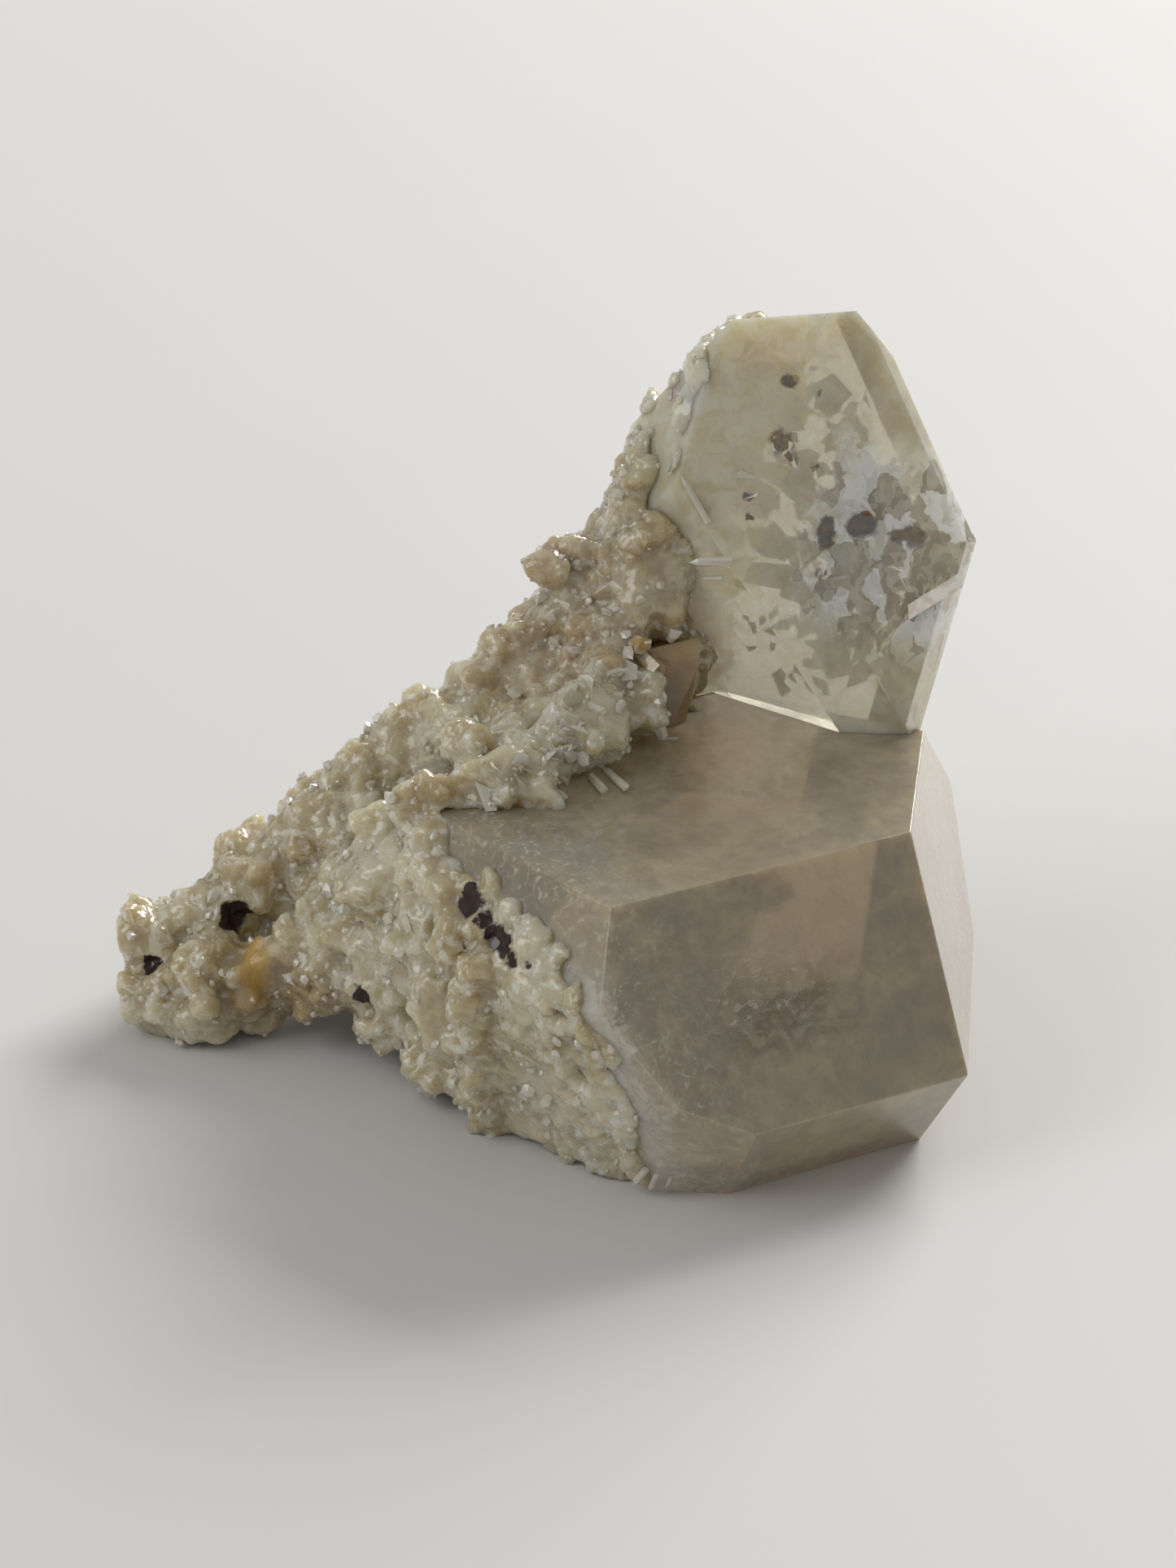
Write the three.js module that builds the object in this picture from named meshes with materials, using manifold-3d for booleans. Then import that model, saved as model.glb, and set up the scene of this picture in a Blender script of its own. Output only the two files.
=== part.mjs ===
import * as THREE from 'three';
import { ConvexGeometry } from 'three/addons/geometries/ConvexGeometry.js';
import { mergeVertices } from 'three/addons/utils/BufferGeometryUtils.js';
import Module from 'manifold-3d';

const wasm = await Module();
wasm.setup();

// Millimetres, +Z up. The cluster is about 70 wide, 56 deep and 58 tall and stands on z = 0.
// Quartz habit: six prism faces 60 degrees apart, end faces sloping from them.
const prismStep = 60;

// Lying crystal: rests on one prism face, its long axis turned from +X towards +Y.
const lying = {
  yaw: 27.1,
  corner: [33.3, -22.4],   // plan position of the lowest front corner of its end face
  ridge: 8.2,              // height of that corner, where the two long front faces meet
  top: 25.1,               // height of the flat top face
  topBack: 38,             // how far back the top reaches, square to the long axis
  girdle: 41.5,            // farthest back point of the section
};

// Upright crystal behind it: frame given by its long axis and its front face.
const upright = {
  axis: [0.264, 0.25, 0.932],
  front: [-0.058, -0.96, 0.274],
  foot: [30.6, 2.6, 25.1], // where the right front edge leaves the lying crystal
  length: 31.7,
  width: 24.5,
  depth: 8.5,
  rim: 1.6,                // width of the narrow right side face
};

const seed = 13;
const centre = [0.056, 4.238]; // plan shift that brings the middle of the whole cluster to the origin

function randomFrom(start) {
  let state = start >>> 0;
  return () => {
    state = (state + 0x6d2b79f5) >>> 0;
    let t = state;
    t = Math.imul(t ^ (t >>> 15), t | 1);
    t ^= t + Math.imul(t ^ (t >>> 7), t | 61);
    return ((t ^ (t >>> 14)) >>> 0) / 4294967296;
  };
}

const rad = THREE.MathUtils.degToRad;
const vec = (a) => new THREE.Vector3(...a);

// Plane whose outward normal is n and that passes through p.
function face(n, p) {
  const normal = vec(n).normalize();
  return { normal, reach: normal.dot(vec(p)) };
}

// Plane through three points, facing away from the point inside.
function faceThrough(a, b, c, inside) {
  const normal = vec(b).sub(vec(a)).cross(vec(c).sub(vec(a))).normalize();
  if (normal.dot(vec(inside)) > normal.dot(vec(a))) normal.negate();
  return { normal, reach: normal.dot(vec(a)) };
}

// Convex solid inside all the given faces: every corner is where three faces meet.
function bodyWithin(faces) {
  const corners = [];
  for (let i = 0; i < faces.length; i += 1) {
    for (let j = i + 1; j < faces.length; j += 1) {
      for (let k = j + 1; k < faces.length; k += 1) {
        const rows = [faces[i], faces[j], faces[k]];
        const m = new THREE.Matrix3();
        m.set(...rows.flatMap((f) => f.normal.toArray()));
        if (Math.abs(m.determinant()) < 1e-4) continue;
        const corner = vec(rows.map((f) => f.reach)).applyMatrix3(m.invert());
        if (faces.every((f) => f.normal.dot(corner) < f.reach + 1e-6)) corners.push(corner);
      }
    }
  }
  return new ConvexGeometry(corners);
}

function bareCopy(geometry) {
  const bare = geometry.clone();
  bare.deleteAttribute('normal');
  if (bare.getAttribute('uv')) bare.deleteAttribute('uv');
  return bare;
}

function solidFrom(geometry) {
  const merged = mergeVertices(bareCopy(geometry), 1e-5);
  return new wasm.Manifold(new wasm.Mesh({
    numProp: 3,
    vertProperties: new Float32Array(merged.getAttribute('position').array),
    triVerts: new Uint32Array(merged.index.array),
  }));
}

function geometryFrom(solid) {
  const mesh = solid.getMesh();
  const geometry = new THREE.BufferGeometry();
  geometry.setAttribute('position', new THREE.BufferAttribute(mesh.vertProperties, 3));
  geometry.setIndex(new THREE.BufferAttribute(mesh.triVerts, 1));
  return geometry;
}

// Frame with x across, y back and z along the given axis, at the given place.
function frameAt(axis, front, place) {
  const z = vec(axis).normalize();
  const y = vec(front).negate();
  y.addScaledVector(z, -y.dot(z)).normalize();
  const x = y.clone().cross(z);
  return new THREE.Matrix4().makeBasis(x, y, z).setPosition(...place);
}

function lyingCrystal() {
  const { ridge, top, topBack, girdle } = lying;
  const around = (deg) => [0, -Math.cos(rad(deg)), Math.sin(rad(deg))];
  const inside = [-5, 15, 12];
  const lowFront = [0, 0, ridge];
  const topCorner = [9.7, 24, top];
  const rightmost = [10.5, 16.4, 10];
  const body = bodyWithin([
    face(around(-90), [0, 0, 0]),
    face(around(-90 + prismStep), lowFront),
    face(around(-90 + 2 * prismStep), lowFront),
    face(around(90), [0, 0, top]),
    face(around(90 + prismStep), [0, topBack, top]),
    face(around(90 + 2 * prismStep), [0, girdle, 18]),
    faceThrough(lowFront, [0, 9.8, top], topCorner, inside),
    faceThrough(lowFront, rightmost, [-1.2, 4.73, 0], inside),
    face([0.848, 0.138, -0.511], rightmost),
    face([0.667, 0.477, 0.571], topCorner),
    // left end: a smooth sloping face, a hollowed rough underside, and a bent low front face
    face([-0.835, -0.229, 0.5], [-29.1, 20, top]),
    face([-0.866, -0.394, -0.306], [-26.9, 15.3, 0]),
    face([-0.464, -0.758, -0.456], [-18, 4.4, 0]),
    face([-0.95, 0.25, -0.15], [-32, 29.9, top]),
  ]);
  const turn = new THREE.Matrix4().makeRotationZ(rad(lying.yaw));
  turn.setPosition(lying.corner[0], lying.corner[1], 0);
  return solidFrom(body.applyMatrix4(turn));
}

function uprightCrystal() {
  const { length, width, depth, rim } = upright;
  const around = (deg, slope = 0) => [
    Math.sin(rad(deg)) * Math.cos(rad(slope)),
    -Math.cos(rad(deg)) * Math.cos(rad(slope)),
    Math.sin(rad(slope)),
  ];
  const shoulder = 16.2;
  const body = bodyWithin([
    face(around(0), [0, 0, 0]),
    face(around(prismStep), [-rim / 2, 0, 0]),
    face(around(2 * prismStep), [0, rim * 0.866, 0]),
    face(around(180), [0, depth, 0]),
    face(around(-prismStep), [-width, 0, 10]),
    face(around(prismStep, 36), [-rim / 2, 0, shoulder]),
    face(around(2 * prismStep, 36), [0, rim * 0.866, shoulder]),
    face([0.55, 0.16, 0.82], [-12.6, 0, 30.4]),
    face([-0.33, 0.14, 0.93], [-14.3, 0, length]),
    face([-0.86, 0.11, 0.5], [-24, 0, 27.9]),
    face([-0.42, -0.77, -0.476], [-6.3, 0, -1.6]),
    face([0, 0, -1], [0, 0, -12]),
  ]);
  // low on its right a second growth stands proud of the front face and ends in a bright ledge
  const proud = -1.1;
  const step = bodyWithin([
    face(around(0), [0, proud, 0]),
    face(around(prismStep), [-rim / 2, 0, 0]),
    face(around(prismStep, 36), [-rim / 2, 0, shoulder]),
    face(around(2 * prismStep), [0, rim * 0.866, 0]),
    face(around(180), [0, 2, 0]),
    face([-0.557, -0.666, 0.497], [-3.7, 0, 10.3]),
    face([-0.88, -0.2, 0.43], [-5.6, proud, 4.9]),
    face([-0.68, -0.2, -0.7], [-1.7, proud, 0.9]),
  ]);
  const place = frameAt(upright.axis, upright.front, upright.foot);
  return solidFrom(body.applyMatrix4(place)).add(solidFrom(step.applyMatrix4(place)));
}

// Broken lump: the convex hull of corners strewn over an ellipsoid of the given half sizes.
function brokenLump(place, half, random, corners = 13) {
  const points = [];
  const spin = new THREE.Euler(random() * 6, random() * 6, random() * 6);
  for (let i = 0; i < corners; i += 1) {
    const height = 1 - (2 * (i + 0.5)) / corners;
    const turn = i * 2.39996 + random() * 0.9;
    const ring = Math.sqrt(1 - height * height);
    const corner = new THREE.Vector3(ring * Math.cos(turn), ring * Math.sin(turn), height);
    corner.applyEuler(spin).multiplyScalar(0.86 + 0.3 * random()).multiply(vec(half)).add(vec(place));
    points.push(corner);
  }
  return solidFrom(new ConvexGeometry(points));
}

// Chain of lumps along a curve; thick gives the half size from start to end.
function lumpChain(stations, count, thick, random, squash = [1, 1, 1]) {
  const curve = new THREE.CatmullRomCurve3(stations.map(vec));
  const lumps = [];
  for (let i = 0; i < count; i += 1) {
    const t = i / (count - 1);
    const at = curve.getPoint(t);
    const r = THREE.MathUtils.lerp(thick[0], thick[1], t) * (0.9 + 0.2 * random());
    lumps.push(brokenLump(at.toArray(), squash.map((k) => k * r), random));
  }
  return lumps;
}

// Rough matrix along the left edge: ridge, front of the arm, filling behind the top face, back foot,
// the ragged plate that stands on the top face, and the ledge that hangs over the rough end.
function matrixLumps(random) {
  const ridgeLine = [
    [-30, 2.5, 5.8], [-23.4, 4, 10.8], [-16.6, 6, 15.7], [-9, 8, 20.1], [-3.1, 9.5, 24.6],
    [1.2, 11.5, 29.9], [7.6, 14, 37], [12.7, 16.5, 43.3], [17.2, 18, 49],
  ];
  const armFront = [[-31, -0.8, 3.4], [-25, -1.6, 4.4], [-18.5, -1.6, 6.6], [-13, -3, 12], [-9, -3, 17]];
  const fill = [[-4, 2, 20], [2, 6, 25.5], [7, 10, 32], [11.4, 12.6, 39]];
  const plate = [[-5, -8, 23.6], [-1.6, -7.4, 25.4], [2, -3.4, 27.2], [4.8, 1.4, 28.6], [7, 5.6, 29]];
  const backFoot = [[-8, 8, 6], [0, 9, 5], [8, 9, 6]];
  const core = [[-26, 3, 6.4], [-19, 4, 9], [-12.6, 3, 11], [-8, 1, 10]];
  const underside = [[-14, -4.4, 6.4], [-11, -8.2, 4.4], [-7, -12.4, 3.6], [-2.6, -15.8, 3.4], [1.8, -19.8, 3]];
  const seam = [[-9.4, -9, 22.6], [-9.4, -11.4, 18], [-9, -13.6, 13], [-7.6, -15.6, 8]];
  return [
    ...lumpChain(core, 5, [3.6, 5.4], random),
    ...lumpChain(underside, 6, [3.3, 3], random),
    ...lumpChain(seam, 6, [1.9, 2.5], random),
    ...lumpChain(ridgeLine, 17, [4, 5.2], random),
    ...lumpChain(armFront, 7, [3.7, 5], random),
    ...lumpChain(fill, 6, [4.8, 4.6], random),
    ...lumpChain(plate, 7, [2.8, 3.4], random, [1, 0.8, 1.15]),
    ...lumpChain(backFoot, 3, [7.4, 6.6], random),
    brokenLump([-31.8, -1.4, 2.3], [3.2, 3, 3.1], random),
    brokenLump([-33.2, 0.6, 7.2], [2.5, 2.8, 3.2], random),
    brokenLump([-23.6, -3, 3.6], [1.9, 1.3, 3.9], random),
    brokenLump([-12.6, -6, 16.8], [4.6, 4, 3], random),
    brokenLump([-10.5, -8, 11], [4, 3.4, 6], random),
    brokenLump([11, 10.5, 28], [3.4, 3.2, 5], random),
  ];
}

// Small quartz crystal: six-sided, with a low pyramid whose faces take turns in size.
function quartzPoint(place, axis, width, length, random) {
  const r = width / 2;
  const corners = [];
  for (let i = 0; i < 6; i += 1) {
    const turn = (i * Math.PI) / 3;
    const x = r * Math.cos(turn);
    const y = r * Math.sin(turn) * (0.75 + 0.25 * random());
    corners.push(new THREE.Vector3(x, y, -0.5 * length));
    corners.push(new THREE.Vector3(x, y, length - r * (0.9 + 0.5 * (i % 2))));
  }
  corners.push(new THREE.Vector3(r * 0.3 * (random() - 0.5), 0, length));
  const point = new ConvexGeometry(corners);
  const aim = new THREE.Quaternion().setFromUnitVectors(new THREE.Vector3(0, 0, 1), axis);
  const spin = new THREE.Quaternion().setFromAxisAngle(new THREE.Vector3(0, 0, 1), random() * 3);
  point.applyQuaternion(aim.multiply(spin));
  point.translate(place.x, place.y, place.z);
  return solidFrom(point);
}

// Random places on a solid's skin, even by area, where keep(place, normal) holds.
function placesOn(solid, count, random, keep) {
  const { vertProperties: at, triVerts: tri } = solid.getMesh();
  const corner = (i) => new THREE.Vector3().fromArray(at, 3 * i);
  const faces = [];
  let total = 0;
  for (let i = 0; i < tri.length; i += 3) {
    const t = new THREE.Triangle(corner(tri[i]), corner(tri[i + 1]), corner(tri[i + 2]));
    total += t.getArea();
    faces.push({ t, upTo: total });
  }
  const places = [];
  for (let tries = 0; places.length < count && tries < 60 * count; tries += 1) {
    const pick = random() * total;
    const { t } = faces.find((f) => f.upTo >= pick);
    const [u, v] = [random(), random()];
    const [s, w] = u + v > 1 ? [1 - u, 1 - v] : [u, v];
    const place = t.a.clone().multiplyScalar(1 - s - w).addScaledVector(t.b, s).addScaledVector(t.c, w);
    const normal = t.getNormal(new THREE.Vector3());
    if (keep(place, normal)) places.push({ place, normal });
  }
  return places;
}

// Small crystals and broken chips, mixed, that sit on a skin and lean at random.
function crust(body, count, width, random, keep) {
  return placesOn(body, count, random, keep).map(({ place, normal }) => {
    const lean = new THREE.Vector3(random() - 0.5, random() - 0.5, random() - 0.5);
    const axis = normal.clone().addScaledVector(lean, 1.2).normalize();
    const size = THREE.MathUtils.lerp(width[0], width[1], random() ** 2);
    if (random() < 0.45) {
      const half = [0.75, 0.6, 0.85].map((k) => k * size * (0.7 + 0.6 * random()));
      return brokenLump(place.toArray(), half, random, 9);
    }
    return quartzPoint(place, axis, size, size * (0.8 + 0.7 * random()), random);
  });
}

const random = randomFrom(seed);
const lyingBody = lyingCrystal();
const uprightBody = uprightCrystal();
const crystals = lyingBody.add(uprightBody);
const matrix = wasm.Manifold.union(matrixLumps(random)).subtract(crystals);
const onMatrix = (place, normal) => place.z > 0.8 && normal.z > -0.6
  && (place.y < 8 || random() < 0.4) && (place.z < 28 || normal.y < -0.3);
const onRoughEnd = (place, normal) => normal.x < -0.4 && normal.z < 0 && place.z > 0.8;
const onEndEdge = (place, normal) => normal.x < -0.4 && normal.z > 0 && place.z < 20.5 && place.x < 3;
const onUprightLeft = (place, normal) => normal.y < -0.3 && place.x < 14.6 && place.z > 28;
const smoky = quartzPoint(vec([10.2, 6.2, 24.4]), vec([0.1, 0.3, 0.95]).normalize(), 4.2, 8.6, random);

// Open pits that hold dark iron oxide: place and half size.
const pits = [
  { at: [-25.2, 0.2, 9.3], half: [1.5, 2, 1.4] },
  { at: [-17.4, -4.4, 5], half: [1.1, 2.2, 1.5] },
  { at: [-5.1, -18.1, 20.6], half: [1.3, 2, 1.5] },
  { at: [-3, -21.6, 19.8], half: [1.3, 1.7, 1.3] },
  { at: [-1.6, -23, 18.9], half: [1.1, 1.7, 1] },
  { at: [-32.2, -2, 6.1], half: [0.8, 1.6, 0.9] },
];

const largest = (shells) => shells.reduce((best, shell) => (shell.volume() > best.volume() ? shell : best));

// Joins corners that lie closer than the gap and drops the faces that close up with them.
function withoutSlivers(solid, gap) {
  const joined = mergeVertices(geometryFrom(solid), gap);
  const index = Array.from(joined.index.array);
  const kept = [];
  for (let i = 0; i < index.length; i += 3) {
    const [a, b, c] = index.slice(i, i + 3);
    if (a !== b && b !== c && c !== a) kept.push(a, b, c);
  }
  joined.setIndex(kept);
  return solidFrom(joined);
}

// One closed body standing on z = 0: the outer skin of everything joined, less the pits, with no
// loose chips and no sealed gaps.
function fused(solids, hollows) {
  const whole = wasm.Manifold.union(solids).subtract(wasm.Manifold.union(hollows));
  const outer = largest(whole.trimByPlane([0, 0, 1], 0).asOriginal().simplify(0.05).decompose());
  return largest(withoutSlivers(outer, 0.02).decompose());
}

const cluster = fused([
  crystals,
  matrix,
  smoky,
  ...crust(matrix, 92, [1.4, 3.2], random, onMatrix),
  ...crust(lyingBody, 60, [1.7, 3.8], random, onRoughEnd),
  ...crust(lyingBody, 20, [1.4, 2.4], random, onEndEdge),
  ...crust(uprightBody, 10, [1, 2.2], random, onUprightLeft),
], pits.map(({ at, half }) => brokenLump(at, half, random)));

function quartzCluster() {
  const geometry = geometryFrom(cluster);
  geometry.translate(centre[0], centre[1], 0);
  const material = new THREE.MeshStandardMaterial({ color: 0xb9b3a2, roughness: 0.25, metalness: 0 });
  const mesh = new THREE.Mesh(geometry, material);
  mesh.name = 'quartz_cluster';
  return mesh;
}

const part = new THREE.Group();
part.name = 'quartz_crystal';
part.add(quartzCluster());

export default part;
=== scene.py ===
import math

import bpy
import numpy as np
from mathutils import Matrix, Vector


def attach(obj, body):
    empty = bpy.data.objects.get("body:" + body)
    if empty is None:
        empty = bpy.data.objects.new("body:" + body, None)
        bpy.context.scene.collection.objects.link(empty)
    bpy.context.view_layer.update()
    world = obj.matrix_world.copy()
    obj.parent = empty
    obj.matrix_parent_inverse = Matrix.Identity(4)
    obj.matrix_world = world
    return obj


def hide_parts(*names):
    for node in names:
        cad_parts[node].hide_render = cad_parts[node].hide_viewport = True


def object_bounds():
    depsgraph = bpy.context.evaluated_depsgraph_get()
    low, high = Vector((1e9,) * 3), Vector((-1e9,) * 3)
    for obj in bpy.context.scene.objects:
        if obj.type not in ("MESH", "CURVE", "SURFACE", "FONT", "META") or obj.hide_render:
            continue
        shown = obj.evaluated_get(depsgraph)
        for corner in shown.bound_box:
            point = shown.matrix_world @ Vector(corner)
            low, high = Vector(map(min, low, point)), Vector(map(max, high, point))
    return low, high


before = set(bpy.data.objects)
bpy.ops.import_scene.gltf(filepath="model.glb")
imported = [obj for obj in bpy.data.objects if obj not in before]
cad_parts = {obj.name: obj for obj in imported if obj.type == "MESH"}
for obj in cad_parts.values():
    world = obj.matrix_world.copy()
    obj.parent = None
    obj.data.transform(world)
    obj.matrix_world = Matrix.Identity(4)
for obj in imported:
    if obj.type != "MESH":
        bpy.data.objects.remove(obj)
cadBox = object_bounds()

mm = 0.001
planShift = np.array([0.056, 4.238, 0.0])   # mm, from the crystals' own plan to the middle of the cluster
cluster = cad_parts["quartz_cluster"]


# Plane as unit normal and reach: the points x with normal . x = reach.
def face(normal, point):
    n = np.array(normal, float)
    n /= np.linalg.norm(n)
    return n, float(n @ np.array(point, float))


def faceThrough(a, b, c, inside):
    n = np.cross(np.subtract(b, a), np.subtract(c, a))
    n = n / np.linalg.norm(n)
    if n @ np.subtract(inside, a) > 0:
        n = -n
    return n, float(n @ np.array(a, float))


# Planes moved by a turn (rows are where the axes go) and a shift.
def carried(planes, turn, shift):
    moved = []
    for n, reach in planes:
        m = turn @ n
        moved.append((m, reach + float(m @ shift)))
    return moved


# Corners of the convex body inside all planes: solve every three planes at once, keep what no plane cuts off,
# then each face's corners in order of their angle round its middle.
def convexBody(planes, grow=0.0):
    normals = np.array([n for n, r in planes])
    reach = np.array([r for n, r in planes]) + grow
    count = len(planes)
    triples = [(a, b, c) for a in range(count) for b in range(a + 1, count) for c in range(b + 1, count)]
    i, j, k = np.array(triples).T
    rows = np.stack([normals[i], normals[j], normals[k]], 1)
    sound = np.abs(np.linalg.det(rows)) > 1e-4
    rows = rows[sound]
    sides = np.stack([reach[i], reach[j], reach[k]], 1)[sound]
    corners = np.linalg.solve(rows, sides[..., None])[..., 0]
    corners = corners[(corners @ normals.T < reach + 1e-6).all(1)]
    corners = corners[np.unique(np.round(corners, 4), axis=0, return_index=True)[1]]
    faces = []
    for n, r in zip(normals, reach):
        on = np.flatnonzero(np.abs(corners @ n - r) < 1e-4)
        if len(on) < 3:
            continue
        middle = corners[on].mean(0)
        x = corners[on[0]] - middle
        x /= np.linalg.norm(x)
        y = np.cross(n, x)
        turn = np.arctan2((corners[on] - middle) @ y, (corners[on] - middle) @ x)
        faces.append(on[np.argsort(turn)].tolist())
    return corners, faces


def around(deg, slope=0.0):
    a, s = math.radians(deg), math.radians(slope)
    return math.sin(a) * math.cos(s), -math.cos(a) * math.cos(s), math.sin(s)


# Smoky crystal lying on a prism face: ring of prism faces about its long axis (x), end faces at both ends.
lying = {
    "yaw": 27.1,             # degrees from +X towards +Y
    "corner": [33.3, -22.4, 0.0],
    "ridge": 8.2,            # height where the two long front faces meet
    "top": 25.1,
    "topBack": 38.0,
    "girdle": 41.5,
}


def lyingPlanes():
    ring = lambda deg: (0.0, -math.cos(math.radians(deg)), math.sin(math.radians(deg)))
    ridge, top = lying["ridge"], lying["top"]
    inside = [-5, 15, 12]
    lowFront = [0, 0, ridge]
    topCorner = [9.7, 24, top]
    rightmost = [10.5, 16.4, 10]
    planes = [
        face(ring(-90), [0, 0, 0]),
        face(ring(-30), lowFront),
        face(ring(30), lowFront),
        face(ring(90), [0, 0, top]),
        face(ring(150), [0, lying["topBack"], top]),
        face(ring(210), [0, lying["girdle"], 18]),
        faceThrough(lowFront, [0, 9.8, top], topCorner, inside),
        faceThrough(lowFront, rightmost, [-1.2, 4.73, 0], inside),
        face([0.848, 0.138, -0.511], rightmost),
        face([0.667, 0.477, 0.571], topCorner),
        face([-0.835, -0.229, 0.5], [-29.1, 20, top]),
        face([-0.866, -0.394, -0.306], [-26.9, 15.3, 0]),
        face([-0.464, -0.758, -0.456], [-18, 4.4, 0]),
        face([-0.95, 0.25, -0.15], [-32, 29.9, top]),
    ]
    yaw = math.radians(lying["yaw"])
    turn = np.array([[math.cos(yaw), -math.sin(yaw), 0], [math.sin(yaw), math.cos(yaw), 0], [0, 0, 1]])
    return carried(planes, turn, np.array(lying["corner"]) + planShift)


# Pale crystal behind it: z along its axis, x across, y into the crystal from its front face.
upright = {
    "axis": [0.264, 0.25, 0.932],
    "front": [-0.058, -0.96, 0.274],
    "foot": [30.6, 2.6, 25.1],
    "length": 31.7,
    "width": 24.5,
    "depth": 8.5,
    "rim": 1.6,
    "shoulder": 16.2,
    "proud": -1.1,           # how far the second growth stands out of the front face
}


def uprightFrame():
    z = np.array(upright["axis"]) / np.linalg.norm(upright["axis"])
    y = -np.array(upright["front"])
    y = y - z * (y @ z)
    y /= np.linalg.norm(y)
    return np.stack([np.cross(y, z), y, z], 1)


def uprightPlanes():
    rim, shoulder = upright["rim"], upright["shoulder"]
    planes = [
        face(around(0), [0, 0, 0]),
        face(around(60), [-rim / 2, 0, 0]),
        face(around(120), [0, rim * 0.866, 0]),
        face(around(180), [0, upright["depth"], 0]),
        face(around(-60), [-upright["width"], 0, 10]),
        face(around(60, 36), [-rim / 2, 0, shoulder]),
        face(around(120, 36), [0, rim * 0.866, shoulder]),
        face([0.55, 0.16, 0.82], [-12.6, 0, 30.4]),
        face([-0.33, 0.14, 0.93], [-14.3, 0, upright["length"]]),
        face([-0.86, 0.11, 0.5], [-24, 0, 27.9]),
        face([-0.42, -0.77, -0.476], [-6.3, 0, -1.6]),
        face([0, 0, -1], [0, 0, -12]),
    ]
    return carried(planes, uprightFrame(), np.array(upright["foot"]) + planShift)


def stepPlanes():
    rim, proud = upright["rim"], upright["proud"]
    planes = [
        face(around(0), [0, proud, 0]),
        face(around(60), [-rim / 2, 0, 0]),
        face(around(60, 36), [-rim / 2, 0, upright["shoulder"]]),
        face(around(120), [0, rim * 0.866, 0]),
        face(around(180), [0, 2, 0]),
        face([-0.557, -0.666, 0.497], [-3.7, 0, 10.3]),
        face([-0.88, -0.2, 0.43], [-5.6, proud, 4.9]),
        face([-0.68, -0.2, -0.7], [-1.7, proud, 0.9]),
    ]
    return carried(planes, uprightFrame(), np.array(upright["foot"]) + planShift)


# Mesh object from corners in millimetres and faces as lists of corner numbers.
def pieceFrom(name, corners, faces, smooth=False):
    mesh = bpy.data.meshes.new(name)
    faces = faces.tolist() if isinstance(faces, np.ndarray) else faces
    mesh.from_pydata((np.asarray(corners) * mm).tolist(), [], faces)
    mesh.validate()
    mesh.update()
    if smooth:
        mesh.shade_smooth()
    piece = bpy.data.objects.new(name, mesh)
    bpy.context.scene.collection.objects.link(piece)
    return piece


def applyModifiers(piece):
    graph = bpy.context.evaluated_depsgraph_get()
    done = bpy.data.meshes.new_from_object(piece.evaluated_get(graph))
    piece.modifiers.clear()
    old = piece.data
    piece.data = done
    done.name = piece.name
    bpy.data.meshes.remove(old)


def cut(piece, other, operation):
    tool = piece.modifiers.new("cut", "BOOLEAN")
    tool.operation = operation
    tool.solver = "MANIFOLD"
    tool.object = other
    applyModifiers(piece)


def drop(piece):
    mesh = piece.data
    bpy.data.objects.remove(piece)
    bpy.data.meshes.remove(mesh)


def mergeClose(piece, gap):
    weld = piece.modifiers.new("weld", "WELD")
    weld.merge_threshold = gap
    applyModifiers(piece)


# Triangles of a mesh as corner positions in millimetres, shape (count, 3, 3).
def trianglesOf(piece):
    mesh = piece.data
    mesh.calc_loop_triangles()
    at = np.empty(len(mesh.vertices) * 3)
    mesh.vertices.foreach_get("co", at)
    index = np.empty(len(mesh.loop_triangles) * 3, int)
    mesh.loop_triangles.foreach_get("vertices", index)
    return at.reshape(-1, 3)[index.reshape(-1, 3)] / mm


# Places spread over triangles evenly by area, with the normal there; keep(places, normals) says which stay.
def placesOver(triangles, count, rng, keep):
    a, b, c = triangles[:, 0], triangles[:, 1], triangles[:, 2]
    normal = np.cross(b - a, c - a)
    area = np.linalg.norm(normal, axis=1)
    normal = normal / np.maximum(area, 1e-12)[:, None]
    pick = rng.choice(len(area), count * 6, p=area / area.sum())
    u, v = rng.random((2, len(pick)))
    flip = u + v > 1
    u, v = np.where(flip, 1 - u, u), np.where(flip, 1 - v, v)
    at = a[pick] + (b - a)[pick] * u[:, None] + (c - a)[pick] * v[:, None]
    out = normal[pick]
    stay = np.flatnonzero(keep(at, out))[:count]
    return at[stay], out[stay]


# Frames (x, y, z as columns) whose z is the given direction, turned about it at random.
def framesAlong(z, rng):
    z = z / np.linalg.norm(z, axis=1)[:, None]
    side = np.cross(z, rng.normal(size=z.shape))
    x = side / np.linalg.norm(side, axis=1)[:, None]
    return np.stack([x, np.cross(z, x), z], 2)


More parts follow.
